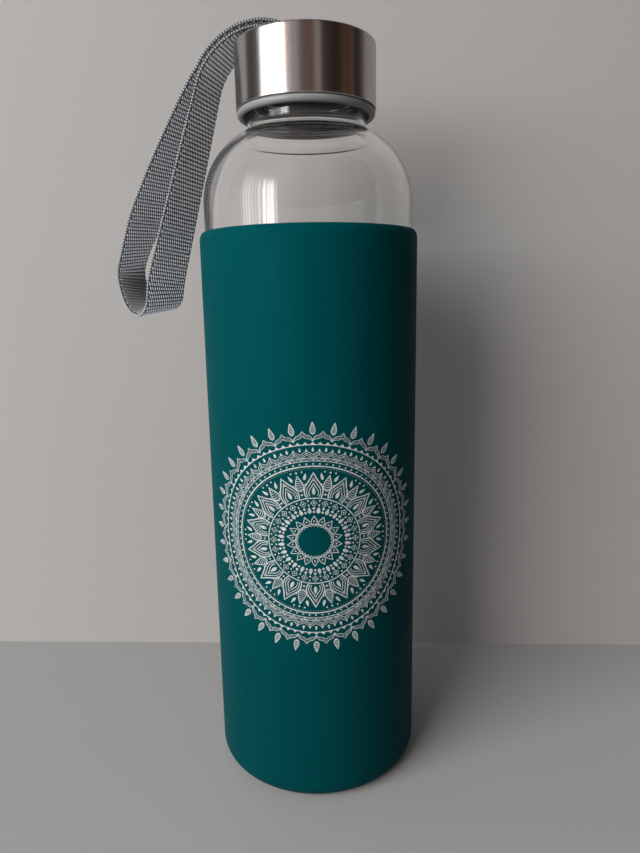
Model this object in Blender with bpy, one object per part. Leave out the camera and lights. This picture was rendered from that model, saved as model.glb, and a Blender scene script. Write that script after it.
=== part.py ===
"""Glass water bottle: glass body, silicone sleeve, screw cap of steel and plastic, webbing strap.

Metres, +Z up. The bottle stands on the flat underside of its sleeve, at z = 0, and its axis is
the Z axis. The cap unscrews counter-clockwise seen from above, and the strap swings about the
slot in the top of the cap.
"""
import math

import bmesh
import bpy
from mathutils import Vector

SEGMENTS = 48
GAP = 0.0003

# Silicone sleeve
SLEEVE_R = 0.0335
SLEEVE_WALL = 0.0014
SLEEVE_FLOOR = 0.0018
SLEEVE_TOP = 0.1749
SLEEVE_CORNER = 0.0053
SLEEVE_RIM_DROP = 0.0028

# Glass bottle
GLASS_R = SLEEVE_R - SLEEVE_WALL - GAP
GLASS_WALL = 0.0016
GLASS_BASE_Z = SLEEVE_FLOOR + GAP
GLASS_BASE_THICK = 0.0045
GLASS_CORNER = 0.0045
SHOULDER_Z = 0.183
SHOULDER_ARC = 0.0228
NECK_R = 0.0178
NECK_FILLET = 0.0027
NECK_FLARE_END = math.radians(-100)
LIP_Z = 0.2193

# Screw thread
PITCH = 0.004
THREAD_HEIGHT = 0.0009
THREAD_BASE = 0.0016
THREAD_CREST = 0.0008
NECK_THREAD_Z = 0.2088
NECK_THREAD_TURNS = 1.6
INSERT_THREAD_TURNS = 1.3

# Cap
CAP_R = 0.02093
CAP_TOP = 0.2277
CAP_BOTTOM = 0.2098
STEEL = 0.0005
CAP_EDGE = 0.0006
INSERT_BOTTOM = 0.2077
INSERT_FLANGE_R = CAP_R - 0.0002
INSERT_R = CAP_R - STEEL - GAP
INSERT_BORE = NECK_R + THREAD_HEIGHT + GAP
SEAL_THICK = 0.0014
SEAL_BORE = 0.013
PLATE_THICK = 0.0013

# Strap
STRAP_WIDTH = 0.016
STRAP_THICK = 0.0013
STRAP_HEADING = math.radians(164.5)
STRAP_START_ANGLE = math.radians(39.5)
STRAP_HANG_ANGLE = math.radians(-72.5)
STRAP_ARCH_R = 0.0202
STRAP_LEG = 0.101
STRAP_SPREAD_START = 0.0355
STRAP_SPREAD = 0.0176
STRAP_TWIST_START = 0.028
STRAP_TWIST_PER_M = math.radians(307)
STRAP_STEP = 0.0036
STRAP_APART_START = 0.078
STRAP_APART = math.radians(17)
STRAP_TURN_REACH = 0.0113
STRAP_TURN_ANGLE = math.radians(-93)
STRAP_TURN_LIFT = 0.20
HINGE_Z = CAP_TOP + 0.0007
SLOT_WIDTH = 0.0042
SLOT_LENGTH = 0.0176
TAIL_WIDTH = 0.008
TAIL_HOLE_R = 0.001
PIN_R = 0.0007
PIN_LENGTH = 0.0195

STRAP_OUT = Vector((math.cos(STRAP_HEADING), math.sin(STRAP_HEADING), 0))
STRAP_ACROSS = Vector((math.sin(STRAP_HEADING), -math.cos(STRAP_HEADING), 0))
UP = Vector((0, 0, 1))


def clear_scene():
    for obj in list(bpy.data.objects):
        bpy.data.objects.remove(obj, do_unlink=True)


def material(name, colour, roughness, metallic=0.0, transmission=0.0):
    mat = bpy.data.materials.new(name)
    mat.use_nodes = True
    shader = mat.node_tree.nodes["Principled BSDF"]
    shader.inputs["Base Color"].default_value = (*colour, 1)
    shader.inputs["Roughness"].default_value = roughness
    shader.inputs["Metallic"].default_value = metallic
    shader.inputs["Transmission Weight"].default_value = transmission
    return mat


def add_object(name, bm, mat=None):
    bmesh.ops.recalc_face_normals(bm, faces=bm.faces)
    mesh = bpy.data.meshes.new(name)
    bm.to_mesh(mesh)
    bm.free()
    obj = bpy.data.objects.new(name, mesh)
    bpy.context.collection.objects.link(obj)
    if mat:
        mesh.materials.append(mat)
    for face in mesh.polygons:
        face.use_smooth = True
    return obj


def arc(centre_r, centre_z, across, rise, start, end, steps):
    """Points of an elliptical arc in the (r, z) half plane. Angles in degrees."""
    points = []
    for i in range(steps + 1):
        angle = math.radians(start + (end - start) * i / steps)
        points.append((centre_r + across * math.cos(angle), centre_z + rise * math.sin(angle)))
    return points


def crossing(r1, z1, radius1, r2, z2, radius2):
    """The outer of the two points where two circles of the (r, z) half plane cross."""
    away = math.hypot(r2 - r1, z2 - z1)
    along = (radius1 ** 2 - radius2 ** 2 + away ** 2) / (2 * away)
    aside = math.sqrt(radius1 ** 2 - along ** 2)
    unit_r, unit_z = (r2 - r1) / away, (z2 - z1) / away
    return r1 + unit_r * along + unit_z * aside, z1 + unit_z * along - unit_r * aside


def lathe(name, profile, mat=None):
    """Turn a closed profile about Z. Points with r = 0 lie on the axis."""
    bm = bmesh.new()
    rings = []
    for r, z in profile:
        if r < 1e-9:
            rings.append([bm.verts.new((0, 0, z))])
            continue
        ring = []
        for i in range(SEGMENTS):
            angle = 2 * math.pi * i / SEGMENTS
            ring.append(bm.verts.new((r * math.cos(angle), r * math.sin(angle), z)))
        rings.append(ring)
    for k, ring in enumerate(rings):
        following = rings[(k + 1) % len(rings)]
        if len(ring) == 1 and len(following) == 1:
            continue
        for i in range(SEGMENTS):
            j = (i + 1) % SEGMENTS
            corners = [ring[i % len(ring)], ring[j % len(ring)]]
            corners += [following[j % len(following)], following[i % len(following)]]
            unique = list(dict.fromkeys(corners))
            bm.faces.new(unique)
    return add_object(name, bm, mat)


def sweep(name, frames, section, mat=None):
    """Sweep a section, given as (along normal, along width) pairs, over position frames."""
    bm = bmesh.new()
    rings = []
    for position, normal, across in frames:
        rings.append([bm.verts.new(position + normal * a + across * b) for a, b in section])
    count = len(section)
    for first, second in zip(rings, rings[1:]):
        for i in range(count):
            j = (i + 1) % count
            bm.faces.new((first[i], first[j], second[j], second[i]))
    bm.faces.new(rings[0])
    bm.faces.new(rings[-1])
    return add_object(name, bm, mat)


def helix(name, base_r, crest_r, start_z, turns):
    """Thread ridge rooted below base_r. It fades into the wall at both ends."""
    bm = bmesh.new()
    steps = int(turns * 24)
    root_r = base_r + math.copysign(0.0004, base_r - crest_r)
    rings = []
    for i in range(steps + 1):
        angle = 2 * math.pi * turns * i / steps
        fade = min(1.0, min(i, steps - i) / 4)
        tip_r = base_r + (crest_r - base_r) * (0.1 + 0.9 * fade)
        middle = start_z + PITCH * turns * i / steps
        corners = [(root_r, -THREAD_BASE / 2), (base_r, -THREAD_BASE / 2), (tip_r, -THREAD_CREST / 2)]
        corners += [(tip_r, THREAD_CREST / 2), (base_r, THREAD_BASE / 2), (root_r, THREAD_BASE / 2)]
        ring = []
        for r, dz in corners:
            ring.append(bm.verts.new((r * math.cos(angle), r * math.sin(angle), middle + dz)))
        rings.append(ring)
    for first, second in zip(rings, rings[1:]):
        for i in range(6):
            j = (i + 1) % 6
            bm.faces.new((first[i], first[j], second[j], second[i]))
    bm.faces.new(rings[0])
    bm.faces.new(rings[-1])
    return add_object(name, bm)


def boolean(target, tool, operation):
    modifier = target.modifiers.new(operation, "BOOLEAN")
    modifier.operation = operation
    modifier.solver = "EXACT"
    modifier.object = tool
    tool.hide_render = True
    tool.display_type = "WIRE"
    bpy.context.view_layer.update()
    graph = bpy.context.evaluated_depsgraph_get()
    result = bpy.data.meshes.new_from_object(target.evaluated_get(graph))
    target.modifiers.clear()
    target.data = result
    bpy.data.objects.remove(tool, do_unlink=True)


def round_bar(name, centre, radius, length, sides, mat=None):
    """Bar along the slot direction."""
    section = []
    for i in range(sides):
        angle = 2 * math.pi * i / sides
        section.append((radius * math.cos(angle), radius * math.sin(angle)))
    frames = []
    for side in (-0.5, 0.5):
        frames.append((centre + STRAP_ACROSS * (length * side), STRAP_OUT, UP))
    return sweep(name, frames, section, mat)


def slot_box(name, low_z, high_z, width, length, corner, mat=None):
    """Upright block with rounded corners, its long side along the slot direction."""
    outline = []
    for quarter, (sign_a, sign_b) in enumerate(((1, 1), (-1, 1), (-1, -1), (1, -1))):
        for i in range(5):
            angle = math.pi / 2 * (quarter + i / 4)
            a = sign_a * (width / 2 - corner) + corner * math.cos(angle)
            b = sign_b * (length / 2 - corner) + corner * math.sin(angle)
            outline.append((a, b))
    frames = [(UP * low_z, STRAP_OUT, STRAP_ACROSS), (UP * high_z, STRAP_OUT, STRAP_ACROSS)]
    return sweep(name, frames, outline, mat)


def make_sleeve():
    silicone = material("sleeve_silicone", (0.004, 0.09, 0.095), 0.62)
    inner_r = SLEEVE_R - SLEEVE_WALL
    inner_corner = SLEEVE_CORNER - SLEEVE_WALL
    profile = [(0, 0)]
    profile += arc(SLEEVE_R - SLEEVE_CORNER, SLEEVE_CORNER, SLEEVE_CORNER, SLEEVE_CORNER, -90, 0, 5)
    profile += arc(inner_r + 0.0002, SLEEVE_TOP - SLEEVE_RIM_DROP, SLEEVE_WALL - 0.0002,
                   SLEEVE_RIM_DROP, 0, 90, 5)
    profile += [(inner_r, SLEEVE_TOP - 0.0002)]
    profile += arc(inner_r - inner_corner, SLEEVE_FLOOR + inner_corner, inner_corner,
                   inner_corner, 0, -90, 4)
    profile += [(0, SLEEVE_FLOOR)]
    return lathe("silicone_sleeve", profile, silicone)


def make_glass():
    glass = material("clear_glass", (0.92, 0.95, 0.94), 0.03, transmission=0.95)
    arc_r = GLASS_R - SHOULDER_ARC
    root_r = NECK_R + NECK_FILLET
    edge_r = root_r + NECK_FILLET * math.cos(NECK_FLARE_END)
    meet = math.acos((edge_r - arc_r) / SHOULDER_ARC)
    root_z = SHOULDER_Z + SHOULDER_ARC * math.sin(meet) - NECK_FILLET * math.sin(NECK_FLARE_END)
    profile = [(0, GLASS_BASE_Z)]
    profile += arc(GLASS_R - GLASS_CORNER, GLASS_BASE_Z + GLASS_CORNER, GLASS_CORNER,
                   GLASS_CORNER, -90, 0, 6)
    profile += arc(arc_r, SHOULDER_Z, SHOULDER_ARC, SHOULDER_ARC, 0, math.degrees(meet), 10)
    profile += arc(root_r, root_z, NECK_FILLET, NECK_FILLET, math.degrees(NECK_FLARE_END), -180, 4)[1:]
    lip = GLASS_WALL / 2
    profile += arc(NECK_R - lip, LIP_Z - lip, lip, lip, 0, 180, 6)
    inner_r = GLASS_R - GLASS_WALL
    dome = inner_r - arc_r
    root = NECK_FILLET + GLASS_WALL
    crease_r, crease_z = crossing(arc_r, SHOULDER_Z, dome, root_r, root_z, root)
    end = 360 + math.degrees(math.atan2(crease_z - root_z, crease_r - root_r))
    profile += arc(root_r, root_z, root, root, 180, end, 4)
    top = math.degrees(math.atan2(crease_z - SHOULDER_Z, crease_r - arc_r))
    profile += arc(arc_r, SHOULDER_Z, dome, dome, top, 0, 9)[1:]
    floor_z = GLASS_BASE_Z + GLASS_BASE_THICK
    profile += arc(inner_r - 0.006, floor_z + 0.006, 0.006, 0.006, 0, -90, 6)
    profile += [(0, floor_z)]
    bottle = lathe("glass_bottle", profile, glass)
    thread = helix("neck_thread", NECK_R, NECK_R + THREAD_HEIGHT, NECK_THREAD_Z, NECK_THREAD_TURNS)
    boolean(bottle, thread, "UNION")
    return bottle


def make_cap_shell():
    steel = material("brushed_steel", (0.55, 0.52, 0.5), 0.3, metallic=1.0)
    inner_r = CAP_R - STEEL
    profile = [(0, CAP_TOP)]
    profile += arc(CAP_R - CAP_EDGE, CAP_TOP - CAP_EDGE, CAP_EDGE, CAP_EDGE, 90, 0, 4)
    profile += [(CAP_R, CAP_BOTTOM), (inner_r, CAP_BOTTOM)]
    profile += [(inner_r, CAP_TOP - STEEL - 0.0003), (inner_r - 0.0003, CAP_TOP - STEEL)]
    profile += [(0, CAP_TOP - STEEL)]
    shell = lathe("cap_shell", profile, steel)
    slot = slot_box("slot_cut", CAP_TOP - 2 * STEEL, CAP_TOP + STEEL, SLOT_WIDTH, SLOT_LENGTH, 0.001)
    boolean(shell, slot, "DIFFERENCE")
    return shell


def make_cap_insert(plate_z):
    plastic = material("insert_plastic", (0.35, 0.36, 0.37), 0.4)
    flange_top = CAP_BOTTOM - GAP
    plate_top = plate_z + PLATE_THICK
    profile = [(0, plate_top), (INSERT_R - 0.0005, plate_top), (INSERT_R, plate_top - 0.0005)]
    profile += [(INSERT_R, flange_top), (INSERT_FLANGE_R, flange_top)]
    profile += arc(INSERT_FLANGE_R - 0.0011, INSERT_BOTTOM + 0.0014, 0.0011, 0.0014, 0, -90, 4)
    profile += [(INSERT_BORE + 0.0003, INSERT_BOTTOM), (INSERT_BORE, INSERT_BOTTOM + 0.0005)]
    profile += [(INSERT_BORE, plate_z), (0, plate_z)]
    insert = lathe("cap_insert", profile, plastic)
    crest_r = INSERT_BORE - THREAD_HEIGHT
    start_z = NECK_THREAD_Z + PITCH / 2
    thread = helix("insert_thread", INSERT_BORE, crest_r, start_z, INSERT_THREAD_TURNS)
    boolean(insert, thread, "UNION")
    return insert


def make_seal(low_z):
    rubber = material("seal_silicone", (0.7, 0.7, 0.68), 0.5)
    outer_r = INSERT_BORE - GAP
    half = SEAL_THICK / 2
    profile = arc(outer_r - half, low_z + half, half, half, -90, 90, 5)
    profile += arc(SEAL_BORE + half, low_z + half, half, half, 90, 270, 5)
    return lathe("seal_ring", profile, rubber)


def make_tail_and_pin(low_z):
    webbing = material("tail_webbing", (0.17, 0.175, 0.18), 0.85)
    steel = material("pin_steel", (0.6, 0.6, 0.6), 0.35, metallic=1.0)
    high_z = HINGE_Z - 0.0018
    middle = UP * ((low_z + high_z) / 2)
    tail = slot_box("strap_tail", low_z, high_z, TAIL_WIDTH, STRAP_WIDTH, 0.0012, webbing)
    hole = round_bar("eye_cut", middle, TAIL_HOLE_R, 2 * STRAP_WIDTH, 16)
    boolean(tail, hole, "DIFFERENCE")
    round_bar("strap_pin", middle, PIN_R, PIN_LENGTH, 16, steel)


def strap_spot(distance):
    """Centre, direction and outward normal of the strap's inner leg, before its twist."""
    bend_end = (STRAP_START_ANGLE - STRAP_HANG_ANGLE) * STRAP_ARCH_R
    bent = min(distance, bend_end)
    angle = STRAP_START_ANGLE - bent / STRAP_ARCH_R
    out = STRAP_ARCH_R * (math.sin(STRAP_START_ANGLE) - math.sin(angle))
    rise = STRAP_ARCH_R * (math.cos(angle) - math.cos(STRAP_START_ANGLE))
    out += (distance - bent) * math.cos(angle)
    rise += (distance - bent) * math.sin(angle)
    direction = STRAP_OUT * math.cos(angle) + UP * math.sin(angle)
    normal = UP * math.cos(angle) - STRAP_OUT * math.sin(angle)
    return STRAP_OUT * out + UP * (HINGE_Z + rise), direction, normal


def twisted(flat_normal, twist):
    normal = flat_normal * math.cos(twist) + STRAP_ACROSS * math.sin(twist)
    return normal, STRAP_ACROSS * math.cos(twist) - flat_normal * math.sin(twist)


def smooth(share):
    share = min(1.0, max(0.0, share))
    return share * share * (3 - 2 * share)


def leg_spacing(distance):
    """Distance between the centres of the strap's two legs."""
    together = STRAP_THICK + GAP
    share = max(0.0, distance - STRAP_SPREAD_START) / (STRAP_LEG - STRAP_SPREAD_START)
    return together + STRAP_SPREAD * (1.1 * share - 0.1 * share * share)


def strap_turn(inner, outer):
    """The hanging end: a half ellipse from the inner leg to the outer leg."""
    start, normal, across = inner
    far_across = outer[2]
    radius = leg_spacing(STRAP_LEG) / 2
    reach = STRAP_OUT * math.cos(STRAP_TURN_ANGLE) + UP * math.sin(STRAP_TURN_ANGLE)
    frames = []
    for i in range(1, 12):
        angle = math.pi * i / 12
        place = start + normal * (radius * (1 - math.cos(angle))) + reach * (STRAP_TURN_REACH * math.sin(angle))
        tangent = reach * (STRAP_TURN_REACH * math.cos(angle)) + normal * (radius * math.sin(angle))
        tangent.normalize()
        share = smooth(i / 12)
        wide = across * (1 - share) + far_across * share + UP * (STRAP_TURN_LIFT * math.sin(angle))
        wide = (wide - tangent * wide.dot(tangent)).normalized()
        frames.append((place, wide.cross(tangent), wide))
    return frames


def make_strap():
    webbing = material("strap_webbing", (0.17, 0.175, 0.18), 0.85)
    steps = int(STRAP_LEG / STRAP_STEP)
    shift = (STRAP_THICK + GAP) / 2
    inner = []
    outer = []
    for i in range(steps + 1):
        distance = STRAP_LEG * i / steps
        centre, direction, flat_normal = strap_spot(distance)
        twist = STRAP_TWIST_PER_M * max(0.0, distance - STRAP_TWIST_START)
        apart = smooth((distance - STRAP_APART_START) / (STRAP_LEG - STRAP_APART_START))
        normal, across = twisted(flat_normal, twist)
        far_normal, far_across = twisted(flat_normal, twist - STRAP_APART * apart)
        inner.append((centre - normal * shift, normal, across))
        outer.append((centre + normal * (leg_spacing(distance) - shift), -far_normal, far_across))
    turn = strap_turn(inner[-1], outer[-1])
    returning = outer[::-1]
    half_w = STRAP_WIDTH / 2
    half_t = STRAP_THICK / 2
    edge = 0.0003
    section = [(half_t, half_w - edge), (half_t - edge, half_w), (edge - half_t, half_w)]
    section += [(-half_t, half_w - edge)]
    section += [(-a, -b) for a, b in section]
    strap = sweep("strap_loop", inner + turn + returning, section, webbing)
    pivot = UP * HINGE_Z
    for vertex in strap.data.vertices:
        vertex.co -= pivot
    strap.location = pivot
    return strap


def build():
    clear_scene()
    make_sleeve()
    make_glass()
    seal_z = LIP_Z + GAP
    make_seal(seal_z)
    plate_z = seal_z + SEAL_THICK + GAP
    make_cap_insert(plate_z)
    make_cap_shell()
    make_tail_and_pin(plate_z + PLATE_THICK + GAP)
    make_strap()


build()
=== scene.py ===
"""Looks for the glass water bottle: glass, silicone sleeve with a print, steel cap, webbing strap.

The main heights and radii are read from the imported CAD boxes. Finer sizes are named below.
Lengths are in metres, apart from the print, which is drawn in millimetres.
"""
import math
import random

import bmesh
import bpy
import numpy as np
from mathutils import Matrix, Vector


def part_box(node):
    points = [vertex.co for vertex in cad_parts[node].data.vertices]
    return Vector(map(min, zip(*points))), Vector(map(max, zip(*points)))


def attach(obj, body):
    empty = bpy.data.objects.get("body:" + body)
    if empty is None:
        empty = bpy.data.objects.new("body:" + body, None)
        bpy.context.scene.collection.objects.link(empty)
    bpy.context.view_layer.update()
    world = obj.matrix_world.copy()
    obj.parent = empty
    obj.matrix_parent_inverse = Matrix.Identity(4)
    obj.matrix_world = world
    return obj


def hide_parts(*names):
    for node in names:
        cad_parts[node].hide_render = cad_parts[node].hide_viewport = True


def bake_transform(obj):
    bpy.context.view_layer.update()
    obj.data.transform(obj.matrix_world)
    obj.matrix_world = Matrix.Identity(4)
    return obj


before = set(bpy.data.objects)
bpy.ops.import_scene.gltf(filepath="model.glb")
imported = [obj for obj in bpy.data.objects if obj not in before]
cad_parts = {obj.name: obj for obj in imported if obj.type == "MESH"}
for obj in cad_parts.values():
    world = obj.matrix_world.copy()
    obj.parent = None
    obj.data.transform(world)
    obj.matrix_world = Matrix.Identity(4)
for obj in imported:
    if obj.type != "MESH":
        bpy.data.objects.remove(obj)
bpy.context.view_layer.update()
random.seed(7)


def top_of(node):
    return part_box(node)[1].z


def bottom_of(node):
    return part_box(node)[0].z


def radius_of(node):
    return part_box(node)[1].x


SLEEVE_R = radius_of("silicone_sleeve")
SLEEVE_TOP = top_of("silicone_sleeve")
GLASS_R = radius_of("glass_bottle")
GLASS_BASE = bottom_of("glass_bottle")
LIP_Z = top_of("glass_bottle")
CAP_R = radius_of("cap_shell")
CAP_TOP = top_of("cap_shell")
CAP_BOTTOM = bottom_of("cap_shell")
INSERT_BOTTOM = bottom_of("cap_insert")
INSERT_TOP = top_of("cap_insert")
SEAL_R = radius_of("seal_ring")

FIT_GAP = 0.0003
SLEEVE_WALL = 0.0014
SLEEVE_FLOOR = GLASS_BASE - FIT_GAP
SLEEVE_CORNER = 0.0053
RIM_DROP = 0.0028
NECK_R = 0.0178
GLASS_WALL = 0.0016
GLASS_FLOOR = 0.0045
GLASS_CORNER = 0.0045
GLASS_INNER_CORNER = 0.006
GLASS_PUNT = 0.0006
SHOULDER_Z = 0.183
SHOULDER_ARC = 0.0228
ROOT_FILLET = 0.0027
ROOT_FILLET_END = -100
PITCH = 0.004
THREAD_HEIGHT = 0.0009
THREAD_Z = 0.2088
NECK_THREAD_TURNS = 1.6
INSERT_THREAD_TURNS = 1.3
STEEL = 0.0005
CAP_EDGE = 0.0006
INSERT_BORE = NECK_R + THREAD_HEIGHT + FIT_GAP
INSERT_PLATE = 0.0013
SEAL_BORE = 0.013
UP = Vector((0, 0, 1))


# ------------ materials

def add(tree, kind, inputs=None, **settings):
    """One shader node. Inputs that are sockets are linked, other values are set."""
    node = tree.nodes.new(kind)
    for key, value in settings.items():
        setattr(node, key, value)
    for key, value in (inputs or {}).items():
        if isinstance(value, bpy.types.NodeSocket):
            tree.links.new(value, node.inputs[key])
        else:
            node.inputs[key].default_value = value
    return node


def new_material(name, inputs):
    """A node material, its tree and its principled shader with the given inputs set."""
    mat = bpy.data.materials.new(name)
    mat.use_nodes = True
    tree = mat.node_tree
    shader = tree.nodes["Principled BSDF"]
    for key, value in inputs.items():
        shader.inputs[key].default_value = value
    return mat, tree, shader


def wire(tree, socket, shader, name):
    tree.links.new(socket, shader.inputs[name])


def ramp(tree, source, stops):
    """A colour ramp from (place, colour) stops."""
    node = add(tree, "ShaderNodeValToRGB", {"Fac": source})
    elements = node.color_ramp.elements
    elements[0].position, elements[1].position = stops[0][0], stops[-1][0]
    elements[0].color, elements[1].color = (*stops[0][1], 1), (*stops[-1][1], 1)
    for place, colour in stops[1:-1]:
        elements.new(place).color = (*colour, 1)
    return node.outputs["Color"]


def maths(tree, operation, first, second, **settings):
    """One scalar maths node with two inputs."""
    node = add(tree, "ShaderNodeMath", {0: first, 1: second}, operation=operation, **settings)
    return node.outputs["Value"]


def scaled(tree, colour, level):
    node = add(tree, "ShaderNodeVectorMath", {0: colour, "Scale": level}, operation="SCALE")
    return node.outputs["Vector"]


def see_through(tree, shader, share, colour=(1, 1, 1, 1)):
    """Let the surface be transparent by the given share."""
    clear = add(tree, "ShaderNodeBsdfTransparent", {"Color": colour})
    mix = add(tree, "ShaderNodeMixShader", {"Fac": share})
    tree.links.new(shader.outputs["BSDF"], mix.inputs[1])
    tree.links.new(clear.outputs["BSDF"], mix.inputs[2])
    tree.links.new(mix.outputs["Shader"], tree.nodes["Material Output"].inputs["Surface"])


def scaled_object_coords(tree, scale):
    coords = add(tree, "ShaderNodeTexCoord").outputs["Object"]
    return add(tree, "ShaderNodeMapping", {"Vector": coords, "Scale": scale}).outputs["Vector"]


def noise(tree, scale, detail=2.0, roughness=0.5, stretch=(1, 1, 1)):
    vector = scaled_object_coords(tree, stretch)
    inputs = {"Vector": vector, "Scale": scale, "Detail": detail, "Roughness": roughness}
    return add(tree, "ShaderNodeTexNoise", inputs).outputs["Fac"]


def remap(tree, source, low, high, from_low=0.0, from_high=1.0):
    inputs = {"Value": source, "From Min": from_low, "From Max": from_high}
    inputs.update({"To Min": low, "To Max": high})
    return add(tree, "ShaderNodeMapRange", inputs).outputs["Result"]


def bump(tree, shader, height, strength, distance):
    inputs = {"Height": height, "Strength": strength, "Distance": distance}
    node = add(tree, "ShaderNodeBump", inputs)
    wire(tree, node.outputs["Normal"], shader, "Normal")


def glass_material():
    """Clear glass, faintly smudged. It casts only a light shadow."""
    inputs = {"Base Color": (0.995, 0.997, 0.993, 1), "Transmission Weight": 1.0, "IOR": 1.48}
    mat, tree, shader = new_material("clear_glass", inputs)
    smudge = noise(tree, 90, 3)
    wire(tree, remap(tree, smudge, 0.0, 0.03, 0.45, 0.8), shader, "Roughness")
    path = add(tree, "ShaderNodeLightPath")
    see_through(tree, shader, path.outputs["Is Shadow Ray"], (0.93, 0.95, 0.945, 1))
    return mat


def silicone_material():
    """Matte teal silicone with painted light: a little lighter towards its rim, darker towards its
    foot.
    """
    mat, tree, shader = new_material("sleeve_silicone", {"Specular IOR Level": 0.04})
    cloud = noise(tree, 28, 3, 0.55)
    colour = ramp(tree, cloud, ((0.25, (0.0, 0.069, 0.079)), (0.75, (0.0, 0.079, 0.089))))
    place = scaled_object_coords(tree, (1, 1, 1))
    height = add(tree, "ShaderNodeSeparateXYZ", {"Vector": place}).outputs["Z"]
    # Painted light: the colour is scaled up towards the rim and down towards the foot.
    level = remap(tree, height, 0.88, 1.12, 0.0, SLEEVE_TOP)
    wire(tree, scaled(tree, colour, level), shader, "Base Color")
    wire(tree, remap(tree, noise(tree, 60, 4), 0.46, 0.60), shader, "Roughness")
    bump(tree, shader, noise(tree, 1500, 2), 0.12, 0.00006)
    return mat


def ink_material():
    """White ink, worn thin in small spots."""
    mat, tree, shader = new_material("white_ink", {"Specular IOR Level": 0.25})
    worn = noise(tree, 420, 3, 0.6)
    stops = ((0.3, (0.50, 0.57, 0.58)), (0.55, (0.74, 0.79, 0.80)), (0.8, (0.80, 0.84, 0.85)))
    wire(tree, ramp(tree, worn, stops), shader, "Base Color")
    wire(tree, remap(tree, worn, 0.5, 0.7), shader, "Roughness")
    return mat


def steel_material(name, roughness, stretch):
    """Brushed steel. The brushing runs round the Z axis, so it spreads light up and down."""
    inputs = {"Metallic": 1.0, "Anisotropic": 0.85, "Anisotropic Rotation": 0.25}
    mat, tree, shader = new_material(name, inputs)
    lines = noise(tree, 60, 4, 0.7, stretch)
    stops = ((0.3, (0.61, 0.59, 0.57)), (0.7, (0.67, 0.65, 0.63)))
    wire(tree, ramp(tree, lines, stops), shader, "Base Color")
    wire(tree, remap(tree, lines, roughness - 0.02, roughness + 0.02), shader, "Roughness")
    tangent = add(tree, "ShaderNodeTangent", direction_type="RADIAL", axis="Z")
    wire(tree, tangent.outputs["Tangent"], shader, "Tangent")
    bump(tree, shader, lines, 0.03, 0.00001)
    return mat


def plastic_material():
    inputs = {"Subsurface Weight": 0.15, "Subsurface Radius": (0.002,) * 3, "Subsurface Scale": 0.5}
    mat, tree, shader = new_material("insert_plastic", inputs)
    mottled = noise(tree, 200, 3)
    stops = ((0.3, (0.37, 0.375, 0.385)), (0.7, (0.42, 0.425, 0.435)))
    wire(tree, ramp(tree, mottled, stops), shader, "Base Color")
    wire(tree, remap(tree, mottled, 0.30, 0.40), shader, "Roughness")
    bump(tree, shader, noise(tree, 1200, 1), 0.05, 0.00005)
    return mat


def seal_material():
    mat, tree, shader = new_material("seal_silicone", {})
    soft = noise(tree, 150, 2)
    stops = ((0.3, (0.55, 0.56, 0.55)), (0.7, (0.66, 0.67, 0.66)))
    wire(tree, ramp(tree, soft, stops), shader, "Base Color")
    wire(tree, remap(tree, soft, 0.4, 0.55), shader, "Roughness")
    return mat


def yarn_material(name, dark, light, sheen):
    """Polyester yarn: fine streaks, soft sheen and slow shade changes along the strap."""
    inputs = {"Sheen Weight": sheen, "Sheen Roughness": 0.35}
    mat, tree, shader = new_material(name, inputs)
    slow = noise(tree, 70, 2)
    fine = noise(tree, 1400, 1, 0.5)
    both = remap(tree, maths(tree, "ADD", slow, fine), 0, 1, 0.6, 1.4)
    wire(tree, ramp(tree, both, ((0, dark), (1, light))), shader, "Base Color")
    wire(tree, remap(tree, fine, 0.42, 0.62), shader, "Roughness")
    bump(tree, shader, fine, 0.15, 0.00005)
    return mat


# ------------ mesh helpers

def new_mesh(name, verts, faces, mat, smooth=True, face_slots=None):
    mesh = bpy.data.meshes.new(name)
    mesh.from_pydata([tuple(map(float, v)) for v in verts], [], faces)
    bm = bmesh.new()
    bm.from_mesh(mesh)
    bmesh.ops.recalc_face_normals(bm, faces=bm.faces)
    bm.to_mesh(mesh)
    bm.free()
    obj = bpy.data.objects.new(name, mesh)
    bpy.context.scene.collection.objects.link(obj)
    for one in mat if isinstance(mat, list) else [mat]:
        mesh.materials.append(one)
    mesh.polygons.foreach_set("use_smooth", [smooth] * len(mesh.polygons))
    if face_slots is not None:
        mesh.polygons.foreach_set("material_index", face_slots)
    mesh.update()
    return obj


def arc(centre_r, centre_z, across, rise, start, end, steps):
    """Points of an elliptical arc in the (r, z) half plane, between two angles in degrees."""
    points = []
    for i in range(steps + 1):
        angle = math.radians(start + (end - start) * i / steps)
        points.append((centre_r + across * math.cos(angle), centre_z + rise * math.sin(angle)))
    return points


def crossing(r1, z1, radius1, r2, z2, radius2):
    """The outer of the two points where two circles of the (r, z) half plane cross."""
    away = math.hypot(r2 - r1, z2 - z1)
    along = (radius1 ** 2 - radius2 ** 2 + away ** 2) / (2 * away)
    aside = math.sqrt(radius1 ** 2 - along ** 2)
    unit_r, unit_z = (r2 - r1) / away, (z2 - z1) / away
    return r1 + unit_r * along + unit_z * aside, z1 + unit_z * along - unit_r * aside


def column(r, low, high, steps):
    """Evenly spaced points up (or down) a straight wall, without its ends."""
    return [(r, low + (high - low) * i / steps) for i in range(1, steps)]


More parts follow.
